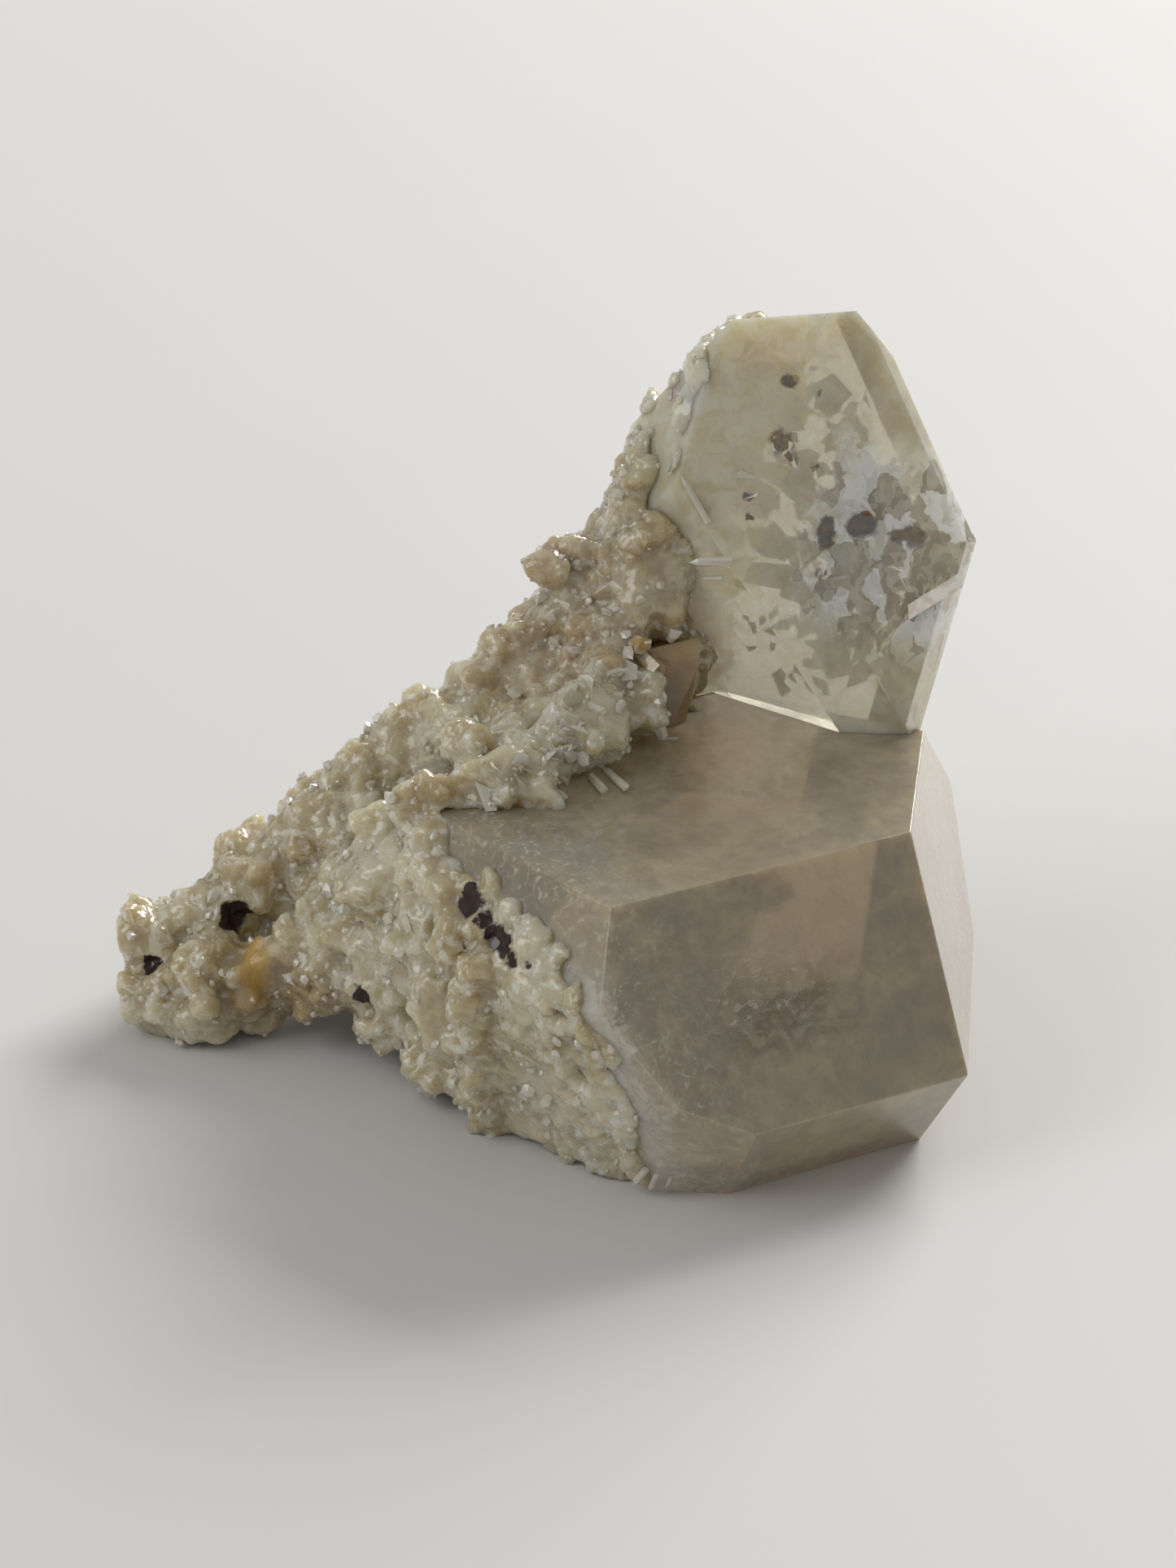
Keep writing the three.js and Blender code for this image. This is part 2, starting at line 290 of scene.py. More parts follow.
# Small crystals as one mesh. Each is a surface of two parameters, side k and station s: corner k of ring s is
# radius times the ring's size round the axis, at the ring's height along it. Six sides, two rings, a point at
# both ends, and every corner moved a little.
def grains(places, frames, radius, length, rng, rough=0.16, flat=0.3, low=-0.45, tip=(0.45, 0.25)):
    count, sides = len(places), 6
    turn = np.arange(sides) * math.tau / sides
    ring = np.stack([np.cos(turn), np.sin(turn)], 1)
    shoulder = tip[0] + tip[1] * rng.random(count)
    squash = 1 - flat * rng.random(count)
    corners = np.zeros((count, 2 * sides + 2, 3))
    for s, (size, height) in enumerate([(0.85, np.full(count, low)), (1.0, shoulder)]):
        part = corners[:, s * sides:(s + 1) * sides]
        part[..., 0] = ring[:, 0] * (radius * size)[:, None]
        part[..., 1] = ring[:, 1] * (radius * size * squash)[:, None]
        part[..., 2] = (height * length)[:, None]
    corners[:, -2, 2] = (low - 0.25) * length
    corners[:, -1, 2] = length
    corners[:, -1, :2] = rng.normal(size=(count, 2)) * (0.22 * radius)[:, None]
    corners += rng.normal(size=corners.shape) * (rough * radius)[:, None, None] * 0.6
    at = places[:, None] + np.einsum("nij,nkj->nki", frames, corners)
    k = np.arange(sides)
    nxt = (k + 1) % sides
    bottom, top = 2 * sides, 2 * sides + 1
    tris = np.concatenate([
        np.stack([nxt, k, np.full(sides, bottom)], 1),
        np.stack([k, nxt, sides + nxt], 1),
        np.stack([k, sides + nxt, sides + k], 1),
        np.stack([sides + k, sides + nxt, np.full(sides, top)], 1),
    ])
    index = tris[None] + (np.arange(count) * corners.shape[1])[:, None, None]
    return at.reshape(-1, 3), index.reshape(-1, 3)


# Thin flakes as one mesh: a polar grid (turn, ring) with a ragged rim, bowed by the share of the rim squared
# times the cosine of twice the turn, with two skins that meet at the rim.
def flakes(places, frames, radius, thick, bow, rng, spokes=11):
    count = len(places)
    turn = np.arange(spokes) * math.tau / spokes
    rim = 1 + 0.35 * rng.normal(size=(count, spokes)).clip(-1.4, 1.4)
    rim *= radius[:, None]
    squash = 0.35 + 0.65 * rng.random(count)
    corners = np.zeros((count, 2 + 2 * spokes + spokes, 3))
    at = 2
    for share, sides in ((0.5, (1, -1)), (1.0, (0,))):
        for side in sides:
            part = corners[:, at:at + spokes]
            part[..., 0] = rim * share * np.cos(turn)
            part[..., 1] = rim * share * np.sin(turn) * squash[:, None]
            part[..., 2] = (bow * radius)[:, None] * share ** 2 * np.cos(2 * turn) + side * thick * 0.75
            at += spokes
    corners[:, 0, 2] = thick
    corners[:, 1, 2] = -thick
    k = np.arange(spokes)
    nxt = (k + 1) % spokes
    upper, lower, edge = 2, 2 + spokes, 2 + 2 * spokes
    tris = np.concatenate([
        np.stack([np.full(spokes, 0), upper + k, upper + nxt], 1),
        np.stack([upper + k, edge + k, edge + nxt], 1),
        np.stack([upper + k, edge + nxt, upper + nxt], 1),
        np.stack([np.full(spokes, 1), lower + nxt, lower + k], 1),
        np.stack([lower + k, edge + nxt, edge + k], 1),
        np.stack([lower + k, lower + nxt, edge + nxt], 1),
    ])
    world = places[:, None] + np.einsum("nij,nkj->nki", frames, corners)
    index = tris[None] + (np.arange(count) * corners.shape[1])[:, None, None]
    return world.reshape(-1, 3), index.reshape(-1, 3)


# A socket that can be added to, multiplied and so on: each step adds a Math node.
class Value:
    def __init__(self, recipe, socket):
        self.recipe = recipe
        self.socket = socket

    def step(self, operation, *others, clamp=False):
        return self.recipe.math(operation, self, *others, clamp=clamp)

    def __add__(self, other):
        return self.step("ADD", other)

    def __sub__(self, other):
        return self.step("SUBTRACT", other)

    def __rsub__(self, other):
        return self.recipe.math("SUBTRACT", other, self)

    def __mul__(self, other):
        return self.step("MULTIPLY", other)

    __radd__ = __add__
    __rmul__ = __mul__

    def top(self, other):
        return self.step("MAXIMUM", other)


class Recipe:
    def __init__(self, name):
        self.material = bpy.data.materials.new(name)
        self.material.use_nodes = True
        self.tree = self.material.node_tree
        self.tree.nodes.clear()
        self.out = self.tree.nodes.new("ShaderNodeOutputMaterial")
        place = self.node("ShaderNodeTexCoord", {}, {}).outputs["Object"]
        at = self.vector("SCALE", place, scale=1000.0)      # Object coordinates in millimetres
        self.at = self.vector("SUBTRACT", at, tuple(planShift))

    # Any node: its type, its settings first, then the value or link of each socket.
    def node(self, kind, settings, sockets):
        node = self.tree.nodes.new(kind)
        for name, value in settings.items():
            setattr(node, name, value)
        for name, value in sockets.items():
            socket = node.inputs[name]
            if isinstance(value, Value):
                value = value.socket
            if isinstance(value, bpy.types.NodeSocket):
                self.tree.links.new(value, socket)
            else:
                socket.default_value = value
        return node

    def math(self, operation, *values, clamp=False):
        node = self.node("ShaderNodeMath", {"operation": operation, "use_clamp": clamp},
                         {i: v for i, v in enumerate(values)})
        return Value(self, node.outputs[0])

    def vector(self, operation, a, b=None, scale=None):
        sockets = {0: a}
        if b is not None:
            sockets[1] = b
        if scale is not None:
            sockets["Scale"] = scale
        node = self.node("ShaderNodeVectorMath", {"operation": operation}, sockets)
        return node.outputs["Value" if operation in ("DISTANCE", "DOT_PRODUCT", "LENGTH") else "Vector"]

    def noise(self, scale, detail=3.0, roughness=0.55, distortion=0.0, at=None):
        node = self.node("ShaderNodeTexNoise", {}, {
            "Vector": at or self.at, "Scale": scale, "Detail": detail,
            "Roughness": roughness, "Distortion": distortion})
        return Value(self, node.outputs["Fac"])

    def cells(self, scale, out="Distance", at=None):
        node = self.node("ShaderNodeTexVoronoi", {}, {"Vector": at or self.at, "Scale": scale})
        return Value(self, node.outputs[out])

    # Soft step: 0 below low, 1 above high.
    def rise(self, value, low, high):
        node = self.node("ShaderNodeMapRange", {"interpolation_type": "SMOOTHSTEP"},
                         {"Value": value, "From Min": low, "From Max": high})
        return Value(self, node.outputs["Result"])

    # Places moved by noise, so that spots get ragged rims.
    def ragged(self, amount, scale):
        node = self.node("ShaderNodeTexNoise", {}, {"Vector": self.at, "Scale": scale, "Detail": 3.0})
        centred = self.vector("SUBTRACT", node.outputs["Color"], (0.5, 0.5, 0.5))
        return self.vector("ADD", self.at, self.vector("SCALE", centred, scale=amount))

    # 1 within a spot, falling to 0 at its rim; stretch gives its half sizes as shares of radius.
    def spot(self, centre, radius, soft=0.5, at=None, stretch=(1, 1, 1)):
        away = self.vector("SUBTRACT", at or self.at, tuple(centre))
        away = self.vector("DIVIDE", away, tuple(stretch))
        length = Value(self, self.vector("LENGTH", away))
        return 1 - self.rise(length, radius * (1 - soft), radius)

    # How far a point lies along a direction from a centre, in millimetres.
    def along(self, direction, centre=(0, 0, 0)):
        away = self.vector("SUBTRACT", self.at, tuple(centre))
        return Value(self, self.vector("DOT_PRODUCT", away, tuple(direction)))

    def blend(self, factor, a, b):
        node = self.node("ShaderNodeMix", {"data_type": "RGBA"}, {"Factor": factor})
        for socket, value in ((node.inputs[6], a), (node.inputs[7], b)):
            if isinstance(value, bpy.types.NodeSocket):
                self.tree.links.new(value, socket)
            else:
                socket.default_value = (*value, 1.0)
        return node.outputs[2]

    def bump(self, height, strength, distance, normal=None):
        sockets = {"Height": height, "Strength": strength, "Distance": distance}
        if normal is not None:
            sockets["Normal"] = normal
        return self.node("ShaderNodeBump", {}, sockets).outputs["Normal"]

    # The first shader where share is 0, the second where it is 1.
    def mix(self, share, first, second):
        both = self.node("ShaderNodeMixShader", {}, {0: share, 1: first.outputs[0], 2: second.outputs[0]})
        return both.outputs[0]

    def finish(self, surface, absorption=None):
        self.tree.links.new(surface, self.out.inputs["Surface"])
        if absorption:
            inside = self.node("ShaderNodeVolumeAbsorption", {},
                               {"Color": (*absorption[0], 1.0), "Density": absorption[1]})
            self.tree.links.new(inside.outputs[0], self.out.inputs["Volume"])
        return self.material


smokyLook = {
    "clear": 0.80,                        # share of light that passes the skin
    "tint": (0.97, 0.91, 0.78),
    "absorb": (0.66, 0.49, 0.24),
    "density": 48.0,                      # per metre
    "gloss": 0.05,
    "milk": (0.41, 0.305, 0.16),
    "cloud": (0.58, 0.475, 0.28),
    "haze": 0.3,                          # least share of scattered light
    "frost": 1.0,
    "brown": (0.16, 0.10, 0.05),
}
smallLook = dict(smokyLook, absorb=(0.52, 0.32, 0.10), density=220.0, haze=0.5, frost=0.0,
                 milk=(0.44, 0.25, 0.06), cloud=(0.66, 0.44, 0.15))


def smokyQuartz(name="smoky_quartz", look=smokyLook):
    r = Recipe(name)
    clouds = r.noise(0.11, 5.0, 0.6, 0.6)
    wisps = r.noise(0.42, 6.0, 0.62, 1.2)
    haze = r.rise(clouds, 0.38, 0.72)
    dark = r.spot((18, -24, 15.5), 7.5, 0.9, r.ragged(7.0, 0.2), (1.3, 1.3, 0.7)) * r.rise(wisps, 0.40, 0.6)
    colour = r.blend(haze * 0.6, look["tint"], (0.99, 0.95, 0.86))
    colour = r.blend(dark * 0.75, colour, look["brown"])
    lines = r.noise(3.2, 2.0, 0.5, 0.2, at=r.vector("MULTIPLY", r.at, (0.12, 0.12, 1.6)))
    normal = r.bump(lines, 0.15, 0.00005)
    clear = r.node("ShaderNodeBsdfPrincipled", {}, {
        "Base Color": colour, "Roughness": haze * 0.22 + look["gloss"], "IOR": 1.544,
        "Transmission Weight": look["clear"], "Normal": normal,
        "Coat Weight": 1.0, "Coat Roughness": 0.03, "Coat IOR": 1.54})
    crumbs = r.noise(1.4, 5.0, 0.7, 0.8)
    past = r.along((0.906, 0.22, 0.362), (2.26, -17.03, 12.13)) + (wisps - 0.5) * 7.0 + (crumbs - 0.5) * 5.0
    low = r.rise(r.along((0, 0, -1)), -23.5, -20.0)
    frost = (1 - r.rise(past, 0.0, 3.0)) * low * look["frost"]
    # white cloud along the rough end, sugary specks that thin out away from it, fine fibres in the front face
    cloud = (1 - r.rise(past, 1.0, 5.0)) * low * 0.85
    sugar = (1 - r.rise(past, 1.0, 17.0)) * r.rise(crumbs, 0.47, 0.66) * 0.75
    thread = r.noise(2.6, 4.0, 0.6, 0.7, at=r.vector("MULTIPLY", r.ragged(3.0, 0.3), (0.55, 0.55, 1.5)))
    fibres = r.spot((16, -24, 16.5), 9.0, 0.9, None, (1.2, 1.2, 0.7)) * r.rise(thread, 0.52, 0.63) * 0.7
    inner = sugar.top(fibres).top(cloud) * look["frost"]
    mottle = r.rise(r.noise(0.55, 5.0, 0.6, 0.5), 0.36, 0.62) * 0.6 + r.rise(clouds, 0.4, 0.62) * 0.4
    cream = r.blend(frost.top(inner), r.blend(mottle, look["milk"], look["cloud"]), (0.90, 0.86, 0.74))
    torn = r.ragged(3.0, 0.5)
    stain = r.spot((5, -26, 8), 2.0, 0.8, torn).top(r.spot((7, -26, 4.5), 2.4, 0.8, torn))
    cream = r.blend(stain * look["frost"] * 0.8, cream, (0.62, 0.44, 0.08))
    milk = r.node("ShaderNodeBsdfPrincipled", {}, {
        "Base Color": r.blend(dark * 0.6, cream, look["brown"]), "Roughness": 0.35, "IOR": 1.544,
        "Subsurface Weight": 1.0, "Subsurface Radius": (1.0, 0.85, 0.6), "Subsurface Scale": 0.003,
        "Transmission Weight": 0.2, "Coat Weight": 1.0, "Coat Roughness": 0.03,
        "Normal": r.bump(frost * crumbs, 0.9, 0.0006, normal)})
    share = (haze * 0.2 + mottle * 0.15 + look["haze"]).top(frost * 0.9).top(inner).top(dark * 0.8)
    return r.finish(r.mix(share, clear, milk), (look["absorb"], look["density"]))


# Milky quartz with a shattered part; it is clear at the openings, so that the inclusions show there.
def milkyQuartz(openings):
    r = Recipe("milky_quartz")
    clouds = r.noise(0.16, 5.0, 0.6, 0.8)
    wisps = r.noise(0.6, 6.0, 0.65, 1.0)
    bent = r.vector("MULTIPLY", r.ragged(2.2, 0.6), (1.3, 1.0, 0.75))
    shards = r.rise(r.cells(0.5, "Color", bent), 0.38, 0.62)
    splinters = r.rise(r.cells(1.5, "Color", bent), 0.35, 0.65)
    across = r.along(tuple(uprightFrame()[:, 0]), upright["foot"])
    height = r.along(tuple(uprightFrame()[:, 2]), upright["foot"])
    shattered = r.rise(across + (wisps - 0.5) * 9.0, -15.0, -10.5) * r.rise(height, 4.0, 9.0)
    shattered = shattered * (1 - r.rise(height, 19.0, 25.0))
    colour = r.blend(r.rise(clouds, 0.4, 0.7), (0.96, 0.92, 0.80), (0.98, 0.96, 0.90))
    normal = r.bump(r.noise(1.2, 4.0, 0.6), 0.1, 0.00008)
    facets = r.bump(shards + splinters * 0.5, shattered * 0.5, 0.0006, normal)
    clear = r.node("ShaderNodeBsdfPrincipled", {}, {
        "Base Color": colour, "Roughness": 0.02, "IOR": 1.544, "Transmission Weight": 0.95, "Normal": normal,
        "Coat Weight": 1.0, "Coat Roughness": 0.03, "Coat IOR": 1.54})
    cream = r.blend(r.rise(wisps, 0.35, 0.65), (0.80, 0.71, 0.47), (0.92, 0.86, 0.69))
    green = r.spot((27, 4, 33.5), 4.0, 0.9, r.ragged(4.0, 0.4), (1.2, 1, 1)) * 0.5
    cream = r.blend(green, cream, (0.60, 0.56, 0.26))
    veil = shards.top(splinters * 0.5) * shattered
    cream = r.blend(veil, cream, (0.98, 0.96, 0.88))
    milk = r.node("ShaderNodeBsdfPrincipled", {}, {
        "Base Color": cream, "Roughness": 0.3, "IOR": 1.544,
        "Subsurface Weight": 1.0, "Subsurface Radius": (1.0, 0.9, 0.7), "Subsurface Scale": 0.003,
        "Transmission Weight": 0.25, "Coat Weight": 1.0, "Coat Roughness": 0.04, "Normal": facets})
    left = 1 - r.rise(across + (wisps - 0.5) * 12.0, -19.0, -11.0)
    share = (r.rise(clouds, 0.3, 0.75) * 0.2 + 0.48).top(left * 0.88)
    share = share + (shards + splinters * 0.4 - 0.5) * shattered * 0.5
    rags = r.ragged(1.6, 0.9)
    for (x, z), radius in openings:
        middle = uprightFrame() @ np.array([x, 0.0, z]) + upright["foot"]
        hole = r.spot(middle, radius * 1.35, 0.4, rags)
        share = share * (1 - hole * 0.9)
    share = share.step("ADD", 0.0, clamp=True)
    return r.finish(r.mix(share, clear, milk), ((0.84, 0.78, 0.58), 22.0))


# Iron oxide on the rough end, the arm and the toe: centres and radii.
oxideSpots = [((-25.3, 0.5, 9.3), 1.7), ((-17.4, -4.6, 5), 1.7), ((-14.5, -9, 7.6), 0.9),
              ((-5.1, -18, 20.9), 1.5), ((-5.4, -17.6, 22.0), 0.9), ((-4.2, -19.6, 20.2), 1.0),
              ((-3.4, -21.0, 20.0), 1.1), ((-2.5, -22.2, 19.7), 1.2), ((-1.6, -23.4, 19.3), 1.1),
              ((-0.9, -24.2, 19.0), 0.8), ((-32.2, -2.1, 6.2), 1.0)]


def druseQuartz():
    r = Recipe("druse_quartz")
    patches = r.noise(0.13, 4.0, 0.6, 0.5)
    fine = r.noise(0.9, 4.0, 0.6)
    colour = r.blend(r.rise(patches, 0.38, 0.66), (0.54, 0.44, 0.25), (0.74, 0.665, 0.48))
    veins = r.rise(r.noise(0.55, 5.0, 0.65, 1.2), 0.5, 0.62)
    colour = r.blend(veins * 0.7, colour, (0.88, 0.84, 0.72))
    # painted shade: dark brown on the druse low under the arm, where the arch lies in shadow
    paintedShadeUnder = r.spot((-20, -3, 4.5), 10.0, 0.6, r.ragged(4.0, 0.2), (1, 1, 0.6))
    colour = r.blend(paintedShadeUnder * 0.75, colour, (0.38, 0.255, 0.10))
    ridge = r.spot((2.5, 10, 33), 13.0, 0.7, r.ragged(8.0, 0.15), (1.0, 1.0, 1.1))
    colour = r.blend(ridge * 0.7 * r.rise(fine, 0.3, 0.6), colour, (0.44, 0.32, 0.18))
    bent = r.ragged(2.2, 0.7)
    white = r.spot((13, 13, 52), 10.0, 0.5, r.ragged(5.0, 0.3), (1.0, 1.0, 1.3))
    frayed = r.ragged(4.0, 0.3)
    for centre, radius in (((3, -1, 28.5), 5.5), ((-2, -5, 27), 5.0), ((-1, -21, 21), 4.5), ((-14, 0, 19), 7.0)):
        white = white.top(r.spot(centre, radius, 0.7, frayed))
    colour = r.blend(white * 0.6, colour, (0.82, 0.76, 0.58))
    yellow = r.spot((-23.5, -3.5, 7), 3.0, 0.6, bent, (0.6, 2, 1.3))
    for centre, radius in (((-2, 9, 23), 3.0), ((11, 5, 30.5), 2.0), ((3, -21, 8), 2.2), ((5, -24, 5), 2.0)):
        yellow = yellow.top(r.spot(centre, radius, 0.8, bent))
    colour = r.blend(yellow * 0.85, colour, (0.55, 0.34, 0.05))
    oxide = None
    rags = r.ragged(1.5, 1.1)
    for centre, radius in oxideSpots:
        mark = r.spot(centre, radius, 0.25, rags)
        oxide = mark if oxide is None else oxide.top(mark)
    colour = r.blend(oxide, colour, (0.030, 0.010, 0.007))
    coarse = r.bump(r.noise(0.8, 4.0, 0.6, 0.6), 0.4, 0.0004)
    normal = r.bump(r.cells(2.6), 0.3, 0.00012, coarse)
    quartz = r.node("ShaderNodeBsdfPrincipled", {}, {
        "Base Color": colour, "Roughness": r.rise(fine, 0.3, 0.7) * 0.25 + 0.12, "IOR": 1.544,
        "Subsurface Weight": 1.0, "Subsurface Radius": (1.0, 0.88, 0.62), "Subsurface Scale": 0.003,
        "Transmission Weight": 0.12, "Coat Weight": 1.0, "Coat Roughness": 0.06, "Normal": normal})
    stain = r.node("ShaderNodeBsdfPrincipled", {}, {
        "Base Color": colour, "Roughness": 0.6, "IOR": 1.5})
    return r.finish(r.mix(oxide.top(yellow * 0.5), quartz, stain))


def glintQuartz():
    r = Recipe("glint_quartz")
    pale = r.blend(r.noise(0.3, 3.0), (0.84, 0.77, 0.60), (0.95, 0.92, 0.84))
    skin = r.node("ShaderNodeBsdfPrincipled", {}, {
        "Base Color": pale, "Roughness": 0.1, "IOR": 1.544, "Transmission Weight": 0.3,
        "Coat Weight": 1.0, "Coat Roughness": 0.02})
    return r.finish(skin.outputs[0])


def stainedQuartz():
    r = Recipe("stained_quartz")
    stain = r.rise(r.noise(0.7, 4.0, 0.6, 0.5), 0.44, 0.56)
    skin = r.node("ShaderNodeBsdfPrincipled", {}, {
        "Base Color": r.blend(stain, (0.90, 0.82, 0.62), (0.80, 0.42, 0.05)), "Roughness": 0.12, "IOR": 1.544,
        "Transmission Weight": 0.5, "Coat Weight": 1.0, "Coat Roughness": 0.03})
    return r.finish(skin.outputs[0])


# Painted highlight: pale opaque colour on the step's sloped face, standing for the light that face reflects.
def ledgeHighlightQuartz():
    r = Recipe("ledge_painted_highlight")
    paintedHighlight = r.blend(r.rise(r.noise(1.1, 4.0), 0.4, 0.6), (0.78, 0.68, 0.55), (0.95, 0.90, 0.82))
    skin = r.node("ShaderNodeBsdfPrincipled", {}, {
        "Base Color": paintedHighlight, "Roughness": 0.2, "IOR": 1.544, "Coat Weight": 1.0, "Coat Roughness": 0.05})
    return r.finish(skin.outputs[0])


def veilQuartz(name="veil_quartz", seen=0.62):
    r = Recipe(name)
    pale = r.blend(r.noise(0.5, 3.0), (0.88, 0.84, 0.70), (0.97, 0.95, 0.90))
    skin = r.node("ShaderNodeBsdfPrincipled", {}, {
        "Base Color": pale, "Roughness": 0.15, "IOR": 1.45, "Alpha": seen})
    return r.finish(skin.outputs[0])


def stainFlakes(name, deep, light):
    r = Recipe(name)
    colour = r.blend(r.rise(r.noise(1.6, 4.0, 0.6), 0.35, 0.65), deep, light)
    skin = r.node("ShaderNodeBsdfPrincipled", {}, {"Base Color": colour, "Roughness": 0.4, "IOR": 1.6})
    return r.finish(skin.outputs[0])


def stageCloth():
    r = Recipe("pale_floor")
    skin = r.node("ShaderNodeBsdfPrincipled", {}, {
        "Base Color": r.blend(r.noise(0.01, 3.0), (0.70, 0.69, 0.67), (0.73, 0.72, 0.70)), "Roughness": 0.6})
    return r.finish(skin.outputs[0])


def dress(piece, material):
    piece.data.materials.clear()
    piece.data.materials.append(material)
    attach(piece, "root")
    return piece


print("crystals")
lyingCorners, lyingFaces = convexBody(lyingPlanes())
lyingCrystal = pieceFrom("lying_crystal", lyingCorners, lyingFaces)
uprightCorners, uprightFaces = convexBody(uprightPlanes())
uprightCrystal = pieceFrom("upright_crystal", uprightCorners, uprightFaces)
stepBody = pieceFrom("step", *convexBody(stepPlanes()))
cut(uprightCrystal, stepBody, "UNION")
grownLying = pieceFrom("grown_lying", *convexBody(lyingPlanes(), 0.02))
cut(uprightCrystal, grownLying, "DIFFERENCE")



# Narrow rounding, so that the edges catch the light.
def roundEdges(piece, width):
    bevel = piece.modifiers.new("edges", "BEVEL")
    bevel.width = width * mm
    bevel.segments = 2
    bevel.limit_method = "ANGLE"
    bevel.angle_limit = math.radians(12)
    bevel.harden_normals = True
    applyModifiers(piece)


print("matrix")
matrix = pieceFrom("druse_matrix", np.zeros((0, 3)), [])
matrix.data = cluster.data.copy()
matrix.data.name = "druse_matrix"
mergeClose(matrix, 2e-6)
grownUpright = pieceFrom("grown_upright", *convexBody(uprightPlanes(), 0.02))
grownStep = pieceFrom("grown_step", *convexBody(stepPlanes(), 0.02))
for other in (grownLying, grownUpright, grownStep):
    cut(matrix, other, "DIFFERENCE")


# Keeps the parts of a mesh that have at least so many triangles. Every corner takes the lowest number among the
# corners it shares a triangle with, again and again, until nothing changes: then each part has one number.
def keepLarge(piece, least):
    mergeClose(piece, 1e-6)
    mesh = piece.data
    mesh.calc_loop_triangles()
    index = np.empty(len(mesh.loop_triangles) * 3, int)
    mesh.loop_triangles.foreach_get("vertices", index)
    index = index.reshape(-1, 3)
    at = np.empty(len(mesh.vertices) * 3)
    mesh.vertices.foreach_get("co", at)
    label = np.arange(len(mesh.vertices))
    while True:
        low = label[index].min(1)
        after = label.copy()
        for side in range(3):
            np.minimum.at(after, index[:, side], low)
        if (after == label).all():
            break
        label = after
    part = label[index[:, 0]]
    size = np.bincount(part, minlength=len(label))
    drop(piece)
    return pieceFrom("druse_matrix", at.reshape(-1, 3) / mm, index[size[part] >= least])


# Upright box from its lowest to its highest corner, as planes.
def boxPlanes(low, high):
    sides = [side for axis, a, b in zip(np.eye(3), low, high) for side in ((axis, b), (-axis, a))]
    return [face(out, abs(out) * end + planShift) for out, end in sides]


# The rough end stops at this plane, beyond which the lying crystal's faces are smooth.
endRim = face((0.906, 0.22, 0.362), np.array([2.26, -17.03, 12.13]) + planShift)
beyondRim = [(-endRim[0], -endRim[1])] + boxPlanes((-8, -40, -1), (20, -8.5, 22))
rimCut = pieceFrom("rim_cut", *convexBody(beyondRim))
cut(matrix, rimCut, "DIFFERENCE")

# Small smoky crystal that stands on the lying one in front of the matrix.
smokySmall = {
    "front": ((0.06, -0.97, 0.2), (10.2, 4.1, 27)),
    "edge": ((0.62, -0.74, -0.1), (11.4, 4.3, 27)),
    "right": ((0.97, 0.16, -0.2), (12.0, 4.9, 27)),
    "left": ((-0.9, -0.42, 0.05), (8.3, 4.9, 27)),
    "back": ((0, 1, 0), (10, 8, 27)),
    "slope": ((0.12, -0.62, 0.8), (10, 4.4, 30.6)),
    "top": ((-0.2, 0.3, 0.95), (10, 6, 31.6)),
    "foot": ((0, 0, -1), (10, 5, 25.14)),
}
smallPlanes = [face(n, np.array(p) + planShift) for n, p in smokySmall.values()]
smallCrystal = pieceFrom("small_smoky_crystal", *convexBody(smallPlanes))
smallRoom = pieceFrom("small_room", *convexBody(smallPlanes, 0.4))
cut(matrix, smallRoom, "DIFFERENCE")
besideRoom = pieceFrom("beside_room", *convexBody(boxPlanes((12.2, 0, 24), (19, 9.5, 32))))
cut(matrix, besideRoom, "DIFFERENCE")
matrix = keepLarge(matrix, 400)
print("matrix faces", len(matrix.data.polygons))
for other in (stepBody, grownLying, grownUpright, grownStep, rimCut, smallRoom, besideRoom):
    drop(other)

print("druse")
rng = np.random.default_rng(5)
boxLow, boxHigh = (np.array(corner) / mm for corner in cadBox)
skinTriangles = trianglesOf(matrix)


# How far each point lies from a convex body's faces: below 0 is inside.
def depthIn(points, planes):
    return np.max([points @ n - reach for n, reach in planes], axis=0)


def onMatrix(at, out):
    proud = (depthIn(at, lyingPlanes()) > 0.03) & (depthIn(at, uprightPlanes()) > 0.03)
    return proud & (depthIn(at, stepPlanes()) > 0.03) & (at[:, 2] > 0.6)


# Crystals of many sizes as (corners, triangles): size is the range of radii, slender the range of length over
# radius, lean tips them from the skin's normal, a higher power makes more of them small.
def crust(triangles, count, size, slender, lean, power, rng, keep):
    at, out = placesOver(triangles, count, rng, keep)
    axis = out + rng.normal(size=out.shape) * lean
    radius = size[0] + (size[1] - size[0]) * rng.random(len(at)) ** power
    length = radius * (slender[0] + (slender[1] - slender[0]) * rng.random(len(at)))
    return grains(at, framesAlong(axis, rng), radius, length, rng)


# Several (corners, triangles) as one.
def joined(parts):
    starts = np.cumsum([0] + [len(corners) for corners, index in parts])
    corners = np.concatenate([corners for corners, index in parts])
    return corners, np.concatenate([index + start for start, (c, index) in zip(starts, parts)])


def arraysOf(piece):
    triangles = trianglesOf(piece)
    return triangles.reshape(-1, 3), np.arange(len(triangles) * 3).reshape(-1, 3)


def onRoughEnd(at, out):
    away = np.stack([at @ n - reach for n, reach in lyingPlanes()])
    near = np.argmin(np.abs(away), axis=0)
    inside = at @ endRim[0] + rng.normal(size=len(at)) * 0.6 < endRim[1]
    upper = (near == 10) & (at[:, 2] < 22.6 + rng.normal(size=len(at)) * 0.4)
    return ((near == 11) | (near == 12) | upper) & (at[:, 2] > 0.5) & inside


